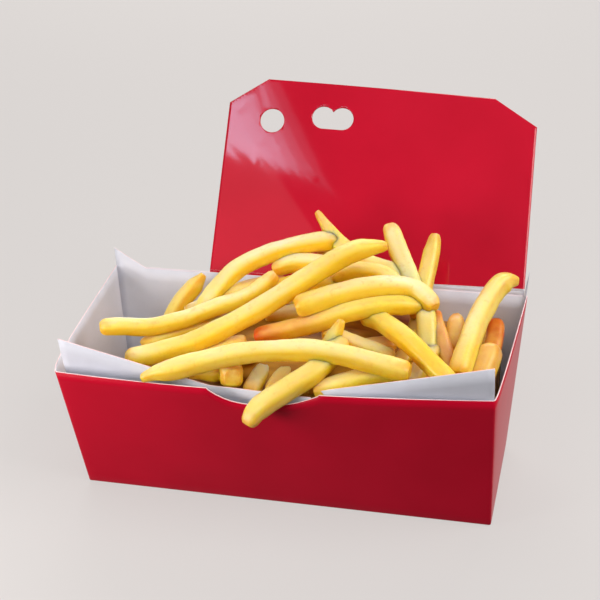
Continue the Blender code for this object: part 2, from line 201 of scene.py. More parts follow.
def printed_board(name, red, deep, roughness, ior, ripple, grain_depth):
    """Solid bleached board, offset printed red and sealed with a gloss coat, which gives an even, saturated
    colour under a thin clear film whose reflections waver with the board."""
    material, tree, shader = new_material(name)
    place = add_node(tree, "ShaderNodeTexCoord").outputs["Object"]
    patches = add_node(tree, "ShaderNodeTexNoise", {"Vector": place, "Scale": 1 / (30 * MM), "Detail": 2.0})
    tree.links.new(colour_ramp(tree, patches.outputs["Fac"], [(0.3, deep), (0.7, red)]), shader.inputs["Base Color"])
    shader.inputs["Roughness"].default_value = roughness
    shader.inputs["IOR"].default_value = ior
    waves = add_node(tree, "ShaderNodeTexNoise", {"Vector": place, "Scale": 1 / (24 * MM), "Detail": 1.0})
    grain = add_node(tree, "ShaderNodeTexNoise", {"Vector": place, "Scale": 1 / (1.2 * MM), "Detail": 3.0})
    broad = add_node(tree, "ShaderNodeBump", {"Height": waves.outputs["Fac"], "Strength": 1.0, "Distance": ripple})
    fine = add_node(
        tree,
        "ShaderNodeBump",
        {"Height": grain.outputs["Fac"], "Strength": 0.5, "Distance": grain_depth, "Normal": broad.outputs["Normal"]},
    )
    tree.links.new(fine.outputs["Normal"], shader.inputs["Normal"])
    return material


def bare_board(name, white, shade):
    """The uncoated side of solid bleached board: matt white with a faint fibre mottle."""
    material, tree, shader = new_material(name)
    place = add_node(tree, "ShaderNodeTexCoord").outputs["Object"]
    fibres = add_node(tree, "ShaderNodeTexNoise", {"Vector": place, "Scale": 1 / (14 * MM), "Detail": 6.0})
    tree.links.new(colour_ramp(tree, fibres.outputs["Fac"], [(0.3, shade), (0.65, white)]), shader.inputs["Base Color"])
    shader.inputs["Roughness"].default_value = 0.62
    shader.inputs["IOR"].default_value = 1.45
    felt = add_node(tree, "ShaderNodeTexNoise", {"Vector": place, "Scale": 1 / (0.8 * MM), "Detail": 4.0})
    bump = add_node(tree, "ShaderNodeBump", {"Height": felt.outputs["Fac"], "Strength": 0.6, "Distance": 0.02 * MM})
    tree.links.new(bump.outputs["Normal"], shader.inputs["Normal"])
    return material


def fried_potato(name, painted_sheen_cream, pale, golden, edge_gold, toasted, scorched):
    """Potato fried in oil: a thin blistered crust over pale starch, so light sinks in and comes back yellow.
    Faces turned upward are mixed toward a pale cream, a painted sheen for the light from above. Each stick
    carries skin (its own coordinates), edge, upper (how far a face turns up, the painted sheen's mask), end_gap and
    browned."""
    material, tree, shader = new_material(name)

    def spread_noise(vector, size, detail, low, high, start, end):
        noise_node = add_node(tree, "ShaderNodeTexNoise", {"Vector": vector, "Scale": 1 / size, "Detail": detail})
        levels = {"Value": noise_node.outputs["Fac"], "From Min": low, "From Max": high, "To Min": start, "To Max": end}
        return add_node(tree, "ShaderNodeMapRange", levels).outputs["Result"]

    def product(a, b):
        return add_node(tree, "ShaderNodeMath", {0: a, 1: b}, operation="MULTIPLY").outputs[0]

    def tint(factor, below, code):
        inputs = {0: factor, 6: below, 7: hex_colour(code)}
        return add_node(tree, "ShaderNodeMix", inputs, data_type="RGBA").outputs[2]

    def carried(attribute, output):
        return add_node(tree, "ShaderNodeAttribute", attribute_name=attribute).outputs[output]

    skin = carried("skin", "Vector")
    streaked = add_node(tree, "ShaderNodeMapping", {"Vector": skin, "Scale": (1.0, 1.0, 0.3)}).outputs["Vector"]
    patches = spread_noise(streaked, 7 * MM, 3.0, 0.32, 0.62, 0.0, 1.0)
    colour = colour_ramp(tree, patches, [(0.0, golden), (1.0, pale)])
    colour = tint(product(carried("edge", "Fac"), spread_noise(skin, 6 * MM, 2.0, 0.35, 0.6, 0.15, 0.85)), colour, edge_gold)
    # Painted sheen: faces turned upward take on the pale cream, more on some fries than on others.
    painted_sheen = product(carried("upper", "Fac"), spread_noise(streaked, 9 * MM, 3.0, 0.35, 0.6, 0.6, 1.0))
    painted_sheen = product(painted_sheen, spread_noise(skin, 90 * MM, 0.0, 0.3, 0.65, 0.15, 1.0))
    colour = tint(painted_sheen, colour, painted_sheen_cream)
    colour = tint(spread_noise(skin, 2.6 * MM, 2.0, 0.60, 0.74, 0.0, 0.22), colour, toasted)
    near_end = add_node(
        tree,
        "ShaderNodeMapRange",
        {"Value": carried("end_gap", "Fac"), "From Min": 0.0, "From Max": 6 * MM, "To Min": 0.75, "To Max": 0.0},
    ).outputs["Result"]
    colour = tint(product(near_end, spread_noise(skin, 4 * MM, 2.0, 0.35, 0.6, 0.3, 1.0)), colour, toasted)
    colour = tint(product(carried("browned", "Fac"), spread_noise(skin, 9 * MM, 2.0, 0.35, 0.6, 0.6, 1.0)), colour, scorched)
    tree.links.new(colour, shader.inputs["Base Color"])
    tree.links.new(spread_noise(skin, 5 * MM, 3.0, 0.3, 0.7, 0.34, 0.48), shader.inputs["Roughness"])
    shader.inputs["IOR"].default_value = 1.47
    shader.inputs["Specular IOR Level"].default_value = 0.3
    shader.inputs["Coat Weight"].default_value = 0.4
    shader.inputs["Coat Roughness"].default_value = 0.3
    shader.inputs["Subsurface Weight"].default_value = 0.9
    shader.inputs["Subsurface Radius"].default_value = (1.0, 0.8, 0.15)
    shader.inputs["Subsurface Scale"].default_value = 4.5 * MM
    blisters = add_node(
        tree, "ShaderNodeTexNoise", {"Vector": skin, "Scale": 1 / (1.6 * MM), "Detail": 4.0, "Roughness": 0.6}
    )
    bump = add_node(tree, "ShaderNodeBump", {"Height": blisters.outputs["Fac"], "Strength": 0.8, "Distance": 0.2 * MM})
    tree.links.new(bump.outputs["Normal"], shader.inputs["Normal"])
    return material


def packed_potato(name):
    """What lies under the loose sticks: the same fried crust, darkened to golden brown as painted shade for the gaps
    between them.
    """
    material, tree, shader = new_material(name)
    place = add_node(tree, "ShaderNodeTexCoord").outputs["Object"]
    lie = add_node(tree, "ShaderNodeMapping", {"Vector": place, "Scale": (0.3, 1.0, 1.0)}).outputs["Vector"]
    sticks = add_node(tree, "ShaderNodeTexNoise", {"Vector": lie, "Scale": 1 / (8 * MM), "Detail": 3.0})
    # Painted shade: dark golden browns, as the crust looks deep in the gaps.
    colour = colour_ramp(tree, sticks.outputs["Fac"], [(0.35, "#8A500A"), (0.65, "#D29A1C")])
    tree.links.new(colour, shader.inputs["Base Color"])
    shader.inputs["Roughness"].default_value = 0.55
    bump = add_node(tree, "ShaderNodeBump", {"Height": sticks.outputs["Fac"], "Strength": 0.8, "Distance": 1.0 * MM})
    tree.links.new(bump.outputs["Normal"], shader.inputs["Normal"])
    return material


def light_table():
    """Opal acrylic lit from below: even and pale, so only a faint shadow lies round the carton."""
    material, tree, shader = new_material("opal_light_table")
    shader.inputs["Base Color"].default_value = hex_colour("#6C6A69")
    shader.inputs["Roughness"].default_value = 0.9
    shader.inputs["Specular IOR Level"].default_value = 0.0
    shader.inputs["Emission Color"].default_value = hex_colour("#DDD8D5")
    shader.inputs["Emission Strength"].default_value = 0.74
    return material


RED_TRAY = printed_board("gloss_printed_board_tray", "#C50A2A", "#BC0826", 0.3, 1.15, 0.1 * MM, 0.01 * MM)
RED_LID = printed_board("gloss_printed_board_lid", "#C4122D", "#BC1029", 0.045, 1.5, 0.02 * MM, 0.003 * MM)
WHITE = bare_board("bleached_board", "#D5D4DC", "#CDCCD3")
CUT_EDGE = bare_board("cut_board_edge", "#F2D9DA", "#E9C6C8")
LID_EDGE = bare_board("inked_board_edge", "#B8505C", "#A03A46")
# The first colour is the pale cream of the painted sheen on faces turned upward.
CRUST = fried_potato("fried_potato_crust", "#F8E6B4", "#F8D644", "#F4C60C", "#EEB812", "#E29812", "#CC4A06")
PAINTED_SHADE_PACKED = packed_potato("painted_shade_packed_potato")


# ---------------------------------------------------------------- tray


def front_rim(side):
    y = FRONT_RIM_Y + FRONT_SKEW * side - FRONT_BULGE * (1 - side * side)
    reach = y + BASE_WIDTH / 2
    return Vector((side * FRONT_LENGTH / 2, y, math.sqrt(FRONT_SLANT**2 - reach**2)))


def front_foot(side):
    return Vector((side * BASE_LENGTH / 2, -BASE_WIDTH / 2, 0))


def back_rim(side):
    return Vector((blend(BACK_RIM_LEFT, BACK_RIM_RIGHT, (side + 1) / 2), BACK_RIM_Y, BACK_RIM_Z))


def back_foot(side):
    return Vector((side * BASE_LENGTH / 2, BASE_WIDTH / 2, 0))


def end_rim(side, depth):
    bulge = END_BULGE_LEFT if side < 0 else END_BULGE_RIGHT
    out = Vector((side * bulge * math.sin(math.pi * math.sqrt(depth)), 0, 0))
    return front_rim(side).lerp(back_rim(side), depth) + out


def end_foot(side, depth):
    return front_foot(side).lerp(back_foot(side), depth)


def notch_cut(x):
    """How far the finger notch cuts down the front panel at x, measured along its slant."""
    across = (x - NOTCH_X) / (NOTCH_WIDTH / 2)
    if abs(across) >= 1:
        return 0.0
    power = NOTCH_POWER_LEFT if across < 0 else NOTCH_POWER_RIGHT
    return NOTCH_SHOULDER + NOTCH_DEPTH * (1 - abs(across) ** power)


def front_sides():
    """Places of the front panel's columns, closer together round the notch's shoulders."""
    xs = [blend(-FRONT_LENGTH / 2, FRONT_LENGTH / 2, i / 60) for i in range(61)]
    for end in (-1, 1):
        shoulder = NOTCH_X + end * NOTCH_WIDTH / 2
        xs = [x for x in xs if abs(x - shoulder) > 1.6 * MM]
        xs += [shoulder + end * 0.05 * MM, shoulder - end * 0.5 * MM, shoulder - end * 1.6 * MM]
    return [x / (FRONT_LENGTH / 2) for x in sorted(xs)]


def wall_columns():
    """The four walls as columns (foot, rim) in order round the tray, and the count of each wall's."""
    sides = front_sides()
    depths = [i / 20 for i in range(1, 20)]
    front = []
    for s in sides:
        foot, rim = front_foot(s), front_rim(s)
        front.append((foot, rim.lerp(foot, notch_cut(rim.x) / FRONT_SLANT)))
    right = [(end_foot(1, d), end_rim(1, d)) for d in depths]
    back = [(back_foot(s), back_rim(s)) for s in reversed(sides)]
    left = [(end_foot(-1, d), end_rim(-1, d)) for d in reversed(depths)]
    return front, right, back, left


def tray_sheet():
    """The outside surface of the base and the four walls, as one open sheet."""
    front, right, back, left = wall_columns()
    around = front + right + back + left
    rows = 14
    work = bmesh.new()
    wall = [[work.verts.new(foot.lerp(rim, j / rows)) for j in range(rows + 1)] for foot, rim in around]
    for i, column in enumerate(wall):
        following = wall[(i + 1) % len(wall)]
        for j in range(rows):
            work.faces.new((column[j], following[j], following[j + 1], column[j + 1]))
    edge = [column[0] for column in wall]
    n, m = len(front) - 1, len(right) + 1
    lines = [edge[: n + 1]]
    for k in range(1, m):
        ends = (edge[-k], edge[n + k])
        inner = [work.verts.new((blend(ends[0].co.x, ends[1].co.x, (v.co.x - edge[0].co.x) / (edge[n].co.x - edge[0].co.x)), ends[0].co.y, 0)) for v in edge[1:n]]
        lines.append([ends[0], *inner, ends[1]])
    lines.append(list(reversed(edge[n + m : 2 * n + m + 1])))
    for lower, upper in zip(lines, lines[1:]):
        for i in range(n):
            work.faces.new((lower[i], upper[i], upper[i + 1], lower[i + 1]))
    bmesh.ops.recalc_face_normals(work, faces=work.faces)
    for face in work.faces:
        face.smooth = True
    mesh = bpy.data.meshes.new("tray_sheet")
    work.to_mesh(mesh)
    work.free()
    return mesh


def thicken(item, thickness, outside, inside, edge, offset=-1.0):
    """Gives a sheet its board thickness: its two faces and its cut edge are three materials."""
    for material in (outside, inside, edge):
        item.data.materials.append(material)
    solidify = item.modifiers.new("board", "SOLIDIFY")
    solidify.thickness = thickness
    solidify.offset = offset
    solidify.use_even_offset = True
    solidify.material_offset = 1
    solidify.material_offset_rim = 2


def fold(item, radius):
    bevel = item.modifiers.new("fold", "BEVEL")
    bevel.limit_method = "ANGLE"
    bevel.angle_limit = math.radians(40)
    bevel.width = radius
    bevel.segments = 3
    bevel.use_clamp_overlap = False


def make_tray():
    tray = new_object("tray_sheet", tray_sheet())
    fold(tray, FOLD_RADIUS)
    thicken(tray, BOARD, RED_TRAY, WHITE, CUT_EDGE)
    return settle(tray, "tray_board")


# ---------------------------------------------------------------- glue flaps


GLUE_GAP = 0.5 * MM
FRONT_FLAP_FOOT_Y = -BASE_WIDTH / 2 + BOARD + GLUE_GAP
BACK_GLUE_GAP = 0.1 * MM
BACK_FLAP_FOOT_Y = BASE_WIDTH / 2 - BOARD - BACK_GLUE_GAP


def flap(name, columns, foot_y, rim_y, x_at):
    """A glue flap standing inside a wall: columns lists (x at the rim, height of the top edge)."""
    rim_z = front_rim(0).z
    fine = []
    for (x0, top0), (x1, top1) in zip(columns, columns[1:]):
        steps = max(1, round(abs(x1 - x0) / 3))
        fine += [(blend(x0, x1, k / steps), blend(top0, top1, k / steps)) for k in range(steps)]
    fine.append(columns[-1])
    grid = []
    for x, top in ((x * MM, top * MM) for x, top in fine):
        column = []
        for j in range(13):
            z = blend(BOARD, top, j / 12)
            bow = waviness(x, z, 30 * MM, 0.25 * MM, foot_y * 900) if foot_y < 0 else 0.0
            column.append(Vector((x_at(x, z), blend(foot_y, rim_y(x), z / rim_z) + bow, z)))
        grid.append(column)
    item = new_object(name, grid_mesh(name, grid, Vector((0, math.copysign(1, foot_y), 0))))
    for face in item.data.polygons:
        face.use_smooth = True
    thicken(item, BOARD, WHITE, WHITE, CUT_EDGE)
    return settle(item, name)


def end_middle_x(side, depth, z):
    rim = end_rim(side, depth)
    return blend(end_foot(side, depth).x, rim.x, z / rim.z) - side * BOARD / 2


def front_flap(name, side, columns, rim_ys):
    fold_x, far_x = columns[0][0] * MM, columns[-1][0] * MM
    depth = 0.05 if side < 0 else 0.02

    def x_at(x, z):
        """The fold follows the end wall up to its rim; above it the wing stands free."""
        lean = end_middle_x(side, depth, min(z, 66 * MM)) - end_middle_x(side, depth, 66 * MM)
        return x + lean * (far_x - x) / (far_x - fold_x)

    def rim_y(x):
        return blend(*rim_ys, (x - fold_x) / (far_x - fold_x))

    return flap(name, columns, FRONT_FLAP_FOOT_Y, rim_y, x_at)


def back_flap(name, columns):
    corner = columns[0][0] * MM
    rim_y = blend(BACK_FLAP_FOOT_Y, BACK_RIM_Y - BOARD - BACK_GLUE_GAP, front_rim(0).z / BACK_RIM_Z)

    def x_at(x, z):
        foot = x * (BASE_LENGTH / 2 - BOARD) / abs(corner)
        return blend(foot, x, z / BACK_RIM_Z)

    return flap(name, columns, BACK_FLAP_FOOT_Y, lambda x: rim_y, x_at)


def make_flaps():
    left = ((-88, 80.2), (-25, 63), (-13, 62.8), (-3, 62.5), (12, 62), (17, 62))
    right = ((89.6, 82.2), (21.2, 65.6))
    back_left = ((-95.2, 78.3), (-88, 73.9), (-80.6, 69.6), (-54, 69.6))
    back_right = ((94.4, 81.9), (93.8, 77), (93.4, 69.6), (50, 69.6))
    return [
        front_flap("front_left_flap", -1, left, (-40 * MM, -41.4 * MM)),
        front_flap("front_right_flap", 1, right, (-37.4 * MM, -40.6 * MM)),
        back_flap("back_left_flap", back_left),
        back_flap("back_right_flap", back_right),
    ]


# ---------------------------------------------------------------- lid


def prism(name, outline, reach, material):
    """A cutter: an outline in the XZ plane drawn out along Y to both sides."""
    work = bmesh.new()
    near = [work.verts.new((x, -reach, z)) for x, z in outline]
    far = [work.verts.new((x, reach, z)) for x, z in outline]
    work.faces.new(near)
    work.faces.new(list(reversed(far)))
    for i in range(len(outline)):
        j = (i + 1) % len(outline)
        work.faces.new((near[i], far[i], far[j], near[j]))
    bmesh.ops.recalc_face_normals(work, faces=work.faces)
    mesh = bpy.data.meshes.new(name)
    work.to_mesh(mesh)
    work.free()
    mesh.materials.append(material)
    return new_object(name, mesh)


def arc(centre_x, centre_z, radius, start, end, steps):
    angles = [math.radians(blend(start, end, i / steps)) for i in range(steps + 1)]
    return [(centre_x + radius * math.cos(a), centre_z + radius * math.sin(a)) for a in angles]


def lid_half(side, z):
    taper = LID_TAPER_LEFT if side < 0 else LID_TAPER_RIGHT
    return LID_WIDTH / 2 - taper * z / LID_HEIGHT


def cut_corner(side, cut):
    """Outline beyond the slanting line that takes off one top corner of the lid."""
    reach = 20 * MM
    half = LID_WIDTH / 2
    inner = Vector((half - cut, LID_HEIGHT))
    outer = Vector((lid_half(side, LID_HEIGHT), LID_HEIGHT - CORNER_CUT_Z))
    start, finish = inner.lerp(outer, -0.2), inner.lerp(outer, 1.2)
    corner = [start, finish, (half + reach, finish.y), (half + reach, LID_HEIGHT + reach), (start.x, LID_HEIGHT + reach)]
    return [(side * x, z) for x, z in corner]


def lid_outlines():
    """Outlines cut out of the lid: the two top corners, the round hole and the twin hole."""
    left, right = SLOT_X
    twin = arc(left, SLOT_Z, SLOT_RADIUS, 50, 270, 30) + arc(right, SLOT_Z, SLOT_RADIUS, 270, 490, 30)
    twin.append(((left + right) / 2, SLOT_Z + SLOT_DIP))
    return [
        cut_corner(-1, CORNER_CUT_LEFT),
        cut_corner(1, CORNER_CUT_RIGHT),
        arc(HOLE_X, HOLE_Z, HOLE_RADIUS, 0, 354, 59),
        twin,
    ]


# Pinched creases by the lid's top left corner and the round hole: two ends, width and depth in millimetres
LID_WRINKLES = (
    ((-60.5, 87.5), (-64, 76), 1.7, 0.045),
    ((-57.5, 88.5), (-53, 77), 1.6, 0.045),
    ((-60, 83), (-66, 78), 1.6, -0.03),
    ((-51, 65.5), (-53, 61), 1.5, 0.015),
    ((-48.5, 65), (-46, 60), 1.5, -0.015),
    ((-55.5, 54), (-54.5, 51.5), 1.2, 0.008),
    ((-31, 50), (-27, 46), 1.4, 0.01),
)


def lid_dent(x, z):
    """Handling marks in the lid panel: pinched creases near the holes and soft waves elsewhere."""
    height = waviness(x, z, 45 * MM, 0.04 * MM, 3.1) * smooth(0, 12 * MM, z)
    place = Vector((x, z)) / MM
    for start, end, width, depth in LID_WRINKLES:
        start, end = Vector(start), Vector(end)
        share = min(1.0, max(0.0, (place - start).dot(end - start) / (end - start).length_squared))
        gap = (place - start.lerp(end, share)).length / width
        height += depth * MM * math.exp(-gap * gap)
    return height


def make_lid():
    columns, rows = 144, 90
    grid = []
    for i in range(columns + 1):
        across = -1 + 2 * i / columns
        column = []
        print_start = LID_CREASE + max(0.05, blend(*PRINT_SLIP, i / columns)) * MM
        heights = [LID_CREASE] + [blend(print_start, LID_HEIGHT, j / rows) for j in range(rows + 1)]
        for z in heights:
            x = across * lid_half(across, z)
            column.append(Vector((x, lid_dent(x, z), z)))
        grid.append(column)
    lid = new_object("lid_sheet", grid_mesh("lid_sheet", grid, Vector((0, -1, 0))))
    for number, face in enumerate(lid.data.polygons):
        face.use_smooth = True
        if number % (rows + 1) == 0:
            face.material_index = 3
    thicken(lid, BOARD, RED_LID, RED_LID, LID_EDGE, offset=0.0)
    for material in (WHITE, RED_LID):
        lid.data.materials.append(material)
    cutters = [prism("cutter", outline, 20 * MM, LID_EDGE) for outline in lid_outlines()]
    for cutter in cutters:
        cutter.parent = lid
        cut = lid.modifiers.new("cut", "BOOLEAN")
        cut.operation = "DIFFERENCE"
        cut.solver = "EXACT"
        cut.material_mode = "TRANSFER"
        cut.object = cutter
    warp = lid.modifiers.new("warp", "SIMPLE_DEFORM")
    warp.deform_method = "TWIST"
    warp.deform_axis = "X"
    warp.angle = -LID_TWIST
    lid.location = (LID_X, HINGE_Y, HINGE_Z)
    lid.rotation_euler = (-LID_LEAN, 0, 0)
    finished = settle(lid, "lid_panel")
    for cutter in cutters:
        bpy.data.objects.remove(cutter, do_unlink=True)
    return finished


def make_crease():
    """The scored fold between the back wall and the lid, curved from the back wall's rim up into the lid's lean."""
    lid_up = Vector((0, math.sin(LID_LEAN), math.cos(LID_LEAN)))
    low = Vector((0, BACK_RIM_Y - BOARD * 0.15, BACK_RIM_Z - 0.6 * MM))
    hinge = Vector((0, HINGE_Y, HINGE_Z))
    path = [low, low.lerp(hinge, 0.45), low.lerp(hinge, 0.8), hinge]
    path += [hinge + lid_up * (0.4 * MM), hinge + lid_up * (0.9 * MM)]
    half = LID_WIDTH / 2
    grid = []
    for i in range(49):
        across = -1 + 2 * i / 48
        grid.append([Vector((LID_X + across * (half - 0.05 * MM), p.y, p.z)) for p in path])
    item = new_object("lid_crease", grid_mesh("lid_crease", grid, Vector((0, -1, 0))))
    printed = -PRINT_SLIP[0] / (PRINT_SLIP[1] - PRINT_SLIP[0])
    for number, face in enumerate(item.data.polygons):
        face.use_smooth = True
        if number // (len(path) - 1) < printed * 48:
            face.material_index = 3
    thicken(item, BOARD * 0.9, WHITE, RED_LID, LID_EDGE, offset=0.0)
    for _ in range(2):
        item.data.materials.append(RED_LID)
    finished = settle(item, "lid_crease")
    return finished, low, hinge + lid_up * (0.9 * MM)


# ---------------------------------------------------------------- fries

# Shapes of a fry's end: how thick it is there, against the middle, and over how many millimetres it narrows.
BLUNT = (0.93, 5)
ROUND = (0.78, 9)
TAPERED = (0.55, 13)
POINTED = (0.3, 20)

# Fries that can be told apart: thickness, first and last end, browning of the two ends, roll in degrees,
# then the route of the middle line, in millimetres.
PLAIN = (0.0, 0.0)
SHOWN = {
    "crossing": (7.9, BLUNT, (0.5, 12), PLAIN, 10, ((-64, -30, 66), (-56, -28, 67), (-46, -24, 69), (-35, -20, 72), (-22, -15, 78), (-8, -8, 85), (13, 4, 97), (26, 9, 103.5), (39, 12, 105.5))),
    "left_end": (6.7, BLUNT, ROUND, PLAIN, 8, ((-80, -17, 72), (-72, -15, 72), (-60, -11, 70.7), (-46, -6, 73), (-32, 1, 77), (-24, 5, 78.5), (-17, 9, 81.6), (-10, 14, 87))),
    "arch": (7.4, ROUND, BLUNT, (0.0, 0.15), 10, ((-42, -1, 71), (-38, 6, 77), (-29, 16, 86), (-18, 24, 90.5), (-6, 28.5, 93.5), (5, 32, 95), (12.5, 35.5, 94.5))),
    "pointed": (6.9, (0.45, 16), BLUNT, (0.25, 0.0), 20, ((2, 43, 104), (7, 39, 99), (14, 34, 93), (25, 29, 89), (42, 24, 86), (52, 18, 80))),
    "upright": (8.2, (0.8, 7), BLUNT, PLAIN, 15, ((34.5, 42, 100), (38, 36, 95.5), (42, 30, 90.5), (48, 20, 83), (53, 8, 75))),
    "slim_upright": (6.6, (0.7, 9), BLUNT, PLAIN, 10, ((55, 39, 99), (54, 32, 91), (53, 20, 81), (52, 9, 71), (50, -2, 63))),
    "right_hook": (8.2, (0.58, 7), BLUNT, PLAIN, 15, ((91.5, 27, 85.5), (87, 25, 86), (83, 20, 84), (78, 4, 79), (76, -12, 75), (74, -27, 70))),
    "hump": (8.3, BLUNT, (0.8, 7), PLAIN, 5, ((4.5, -9.5, 85), (10, -7, 86.5), (19, -2.5, 88.3), (29, 2, 89.5), (41, 5.5, 90), (51, 7, 88.3), (60.5, 1, 84))),
    "browned": (7.3, BLUNT, ROUND, (0.95, 0.0), 8, ((-12, -15, 72.5), (0, -13, 75.5), (14, -9, 79), (26, -6, 83), (40, -2, 85), (55, 3, 83))),
    "falling": (7.6, BLUNT, BLUNT, PLAIN, 12, ((31, 2, 77.5), (37, -4, 79.5), (43, -10, 80.3), (50, -17, 80.2), (58, -25, 78.6), (67, -32.5, 74.5), (73, -36, 71))),
    "under_browned": (6.8, BLUNT, ROUND, (0.1, 0.1), 8, ((16, -8, 73), (27, -13, 73), (38, -17, 72), (47, -20, 71))),
    "long_front": (7.8, (0.5, 14), BLUNT, PLAIN, 12, ((-52, -45.5, 67.2), (-46, -44, 69.2), (-38, -42, 70.8), (-27, -38, 73.2), (-10, -34, 76.5), (11, -31, 78), (27, -31, 77.5), (41, -32, 75.5), (56, -35, 74.5))),
    "over_notch": (8.3, ROUND, BLUNT, PLAIN, 18, ((-5.6, -54, 55.3), (-3.2, -51, 59.6), (1.3, -47.5, 62.8), (9, -42, 66.7), (17, -36, 70.8), (23, -26, 74.5), (25.5, -18, 76.5))),
    "slip": (5.6, (0.6, 8), BLUNT, PLAIN, 0, ((25.3, -17, 85), (23, -19, 80), (20, -23, 75), (16, -27, 70))),
    "under_middle": (6.8, BLUNT, BLUNT, (0.3, 0.45), 0, ((24, -19, 68), (35, -19, 70), (47, -16, 70))),
    "red_tip": (7.2, (0.85, 5), BLUNT, (1.0, 0.9), 0, ((84.2, 15, 72), (84.7, 8, 69), (84.3, 0, 66), (83, -6, 60))),
    "right_orange": (9.2, BLUNT, BLUNT, (0.35, 0.35), 14, ((85, -8, 73), (84, -15, 69.5), (82, -22, 65), (80, -26, 58))),
    "orange_slip": (6.8, TAPERED, BLUNT, (0.75, 0.6), 10, ((61, 5, 80), (63, -3, 75), (66, -9, 70), (71, -15, 64))),
    "right_stub": (7.8, (0.6, 6), BLUNT, (0.3, 0.3), 10, ((68, 11, 75.5), (69, 4, 73), (70, -4, 67))),
    "notch_stub": (9.3, BLUNT, BLUNT, PLAIN, 8, ((-15.8, -38, 66.3), (-19.5, -30, 64.5), (-25.5, -20, 62))),
    "notch_left": (7.4, BLUNT, BLUNT, (0.0, 0.0), 8, ((-10, -36, 58), (-7, -24, 62), (-5, -12, 65))),
    "notch_middle": (7.2, BLUNT, BLUNT, (0.1, 0.1), 5, ((-1, -35, 58), (3, -22, 62), (8, -10, 66))),
    "notch_right": (7.4, ROUND, BLUNT, (0.1, 0.0), 5, ((18, -38, 63.5), (29, -35, 66.5), (40, -31, 68.5), (54, -28, 70))),
    "notch_orange": (6.8, BLUNT, BLUNT, (0.5, 0.4), 0, ((13, -35, 61), (17, -24, 65), (21, -12, 67))),
    "back_left": (7.2, (0.55, 7), BLUNT, PLAIN, 10, ((-49.3, 33.6, 73.8), (-53, 31, 69.5), (-58, 26, 64), (-62, 21, 57), (-65, 15, 50))),
    "beside_back_left": (6.6, ROUND, BLUNT, (0.1, 0.0), 10, ((-41, 21, 70), (-49, 13, 64), (-56, 5, 58))),
    "peek_left": (6.6, ROUND, ROUND, PLAIN, 5, ((-32.5, 8.5, 76.5), (-27.5, 11.5, 78), (-22, 14.5, 78.7), (-16, 17, 79.4))),
    "low_arch": (7.2, BLUNT, BLUNT, (0.05, 0.1), 5, ((-48, 7, 65), (-37, 15, 71), (-23, 21, 76), (-8, 23, 78))),
    "behind_arch": (7.2, ROUND, BLUNT, PLAIN, 5, ((-13, 22, 85), (-4, 24, 88), (8, 25, 88), (20, 23, 86))),
    "behind_middle": (7.0, BLUNT, BLUNT, (0.05, 0.05), 5, ((-13, 15, 79), (-2, 17, 82), (10, 17, 83), (24, 18, 82))),
    "between_tips": (6.4, ROUND, BLUNT, PLAIN, 5, ((4, 37, 90), (13, 31, 88), (23, 22, 85), (31, 14, 82))),
    "beside_crossing": (7.0, BLUNT, BLUNT, PLAIN, 10, ((14, 16, 87), (24, 19, 89), (35, 19, 88), (45, 14, 84))),
    "left_low": (7.0, BLUNT, BLUNT, (0.05, 0.05), 5, ((-63, -14, 62), (-52, -7, 65), (-40, -1, 67), (-26, 5, 68))),
    "left_under": (6.8, BLUNT, BLUNT, (0.2, 0.1), 5, ((-64, -3, 58), (-56, -14, 61), (-46, -25, 60))),
    "left_shaded": (7.2, BLUNT, BLUNT, (0.05, 0.1), 5, ((-44, -26, 61), (-30, -19, 66), (-16, -14, 69))),
    "left_sliver": (6.4, ROUND, BLUNT, (0.1, 0.3), 5, ((-35, -27, 65), (-22, -25, 68), (-9, -23, 69))),
    "right_low": (7.0, BLUNT, BLUNT, (0.2, 0.2), 5, ((47, -22, 64), (52, -11, 70), (57, -1, 74))),
    "right_shaded": (7.0, BLUNT, BLUNT, (0.1, 0.1), 5, ((54, -31, 64), (58, -21, 68), (62, -9, 71))),
    "middle_shaded": (7.2, BLUNT, BLUNT, (0.3, 0.35), 5, ((18, -11, 66), (32, -11, 69), (46, -8, 70))),
    "front_chip": (6.4, (0.35, 10), BLUNT, (0.05, 0.1), 0, ((-34.5, -38, 65), (-28.5, -35, 65.3), (-22, -31, 64))),
    "left_stub": (6.0, ROUND, BLUNT, (0.1, 0.1), 5, ((-50, 7, 69.5), (-44.5, 11, 69.8), (-38, 16, 70.6))),
    "below_hump": (8.2, ROUND, BLUNT, (0.0, 0.1), 8, ((55, 8, 82.5), (57.4, 0, 78.5), (59, -8, 71.6), (60, -15, 66))),
}

INSIDE_LEFT, INSIDE_RIGHT = -76 * MM, 84 * MM


def heap_front_y(z):
    return blend(-BASE_WIDTH / 2 + 2.2 * MM, -36 * MM, z / front_rim(0).z)


def heap_back_y(z):
    return blend(BASE_WIDTH / 2 - 2.2 * MM, 41.5 * MM, z / BACK_RIM_Z)


def heap_top(x, y):
    """Height of the heap's surface, which the loose fries lie on or stand out of."""
    along = x - 12 * MM
    crown = max(0.0, 1 - abs(along / ((96 if along > 0 else 84) * MM)) ** 2.6)
    middle = y + 2 * MM
    fall = (middle / (44 * MM)) ** 4 if middle > 0 else (-middle / (38 * MM)) ** 2.4
    height = 58 * MM + 24 * MM * crown * max(0.0, 1 - fall)
    slope = min(1.0, max(0.0, (x + 86 * MM) / (17 * MM)))
    return blend(14 * MM, height, slope**0.8)


def spline(route, spacing):
    """Points along a smooth curve through the route's own points, in metres, evenly stepped in each span."""
    points = [Vector(p) for p in route]
    points = [points[0] * 2 - points[1], *points, points[-1] * 2 - points[-2]]
    found = []
    for a, b, c, d in zip(points, points[1:], points[2:], points[3:]):
        steps = max(1, round((c - b).length / spacing))
        for k in range(steps):
            t = k / steps
            found.append(0.5 * (2 * b + (c - a) * t + (2 * a - 5 * b + 4 * c - d) * t**2 + (3 * b - a - 3 * c + d) * t**3))
    return found + [points[-2]]


